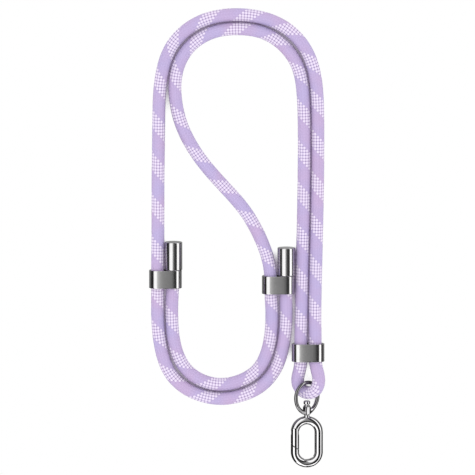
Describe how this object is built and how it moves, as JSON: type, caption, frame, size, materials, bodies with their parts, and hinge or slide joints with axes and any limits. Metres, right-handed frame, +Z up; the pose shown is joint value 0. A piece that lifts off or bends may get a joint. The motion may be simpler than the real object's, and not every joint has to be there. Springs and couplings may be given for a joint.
{
  "type": "phone crossbody strap",
  "caption": "Crossbody strap of a doubled round lilac rope held side by side by flat oval metal collars, with a swivelling oval gate clip.",
  "frame": {"origin": "middle of the strap's outline as it lies, on the table surface", "axes": "+Z up from the table, +Y towards the upper bend and away from the clip, +X towards the bail ring's side"},
  "size_m": [0.1074, 0.2828, 0.0131],
  "materials": {
    "lilac_braid": "satin lilac braid with scattered patches of pale flecks",
    "gunmetal": "polished dark gunmetal plating",
    "polished_gunmetal": "bright gunmetal plating"
  },
  "bodies": {
    "strap": {"rope": "lilac_braid", "left_collar": "gunmetal", "middle_collar": "gunmetal", "loop_collar": "gunmetal", "left_end_cap": "gunmetal", "middle_end_cap": "gunmetal", "bail_ring": "polished_gunmetal"},
    "clip": {"swivel_clip": "polished_gunmetal"},
    "gate": {"clip_gate": "polished_gunmetal"}
  },
  "joints": [
    {"name": "swivel", "type": "hinge", "parent": "strap", "child": "clip", "pos_m": [0.0427, -0.0969, 0.0065], "axis": [0, 0.9956, 0.0935], "continuous": true},
    {"name": "gate_hinge", "type": "hinge", "parent": "clip", "child": "gate", "pos_m": [0.03545, -0.1192, 0.00441], "axis": [0, -0.0935, 0.9956], "range_deg": [0, 30], "stiffness_Nm_per_rad": 0.02, "springref_deg": -11.46}
  ]
}
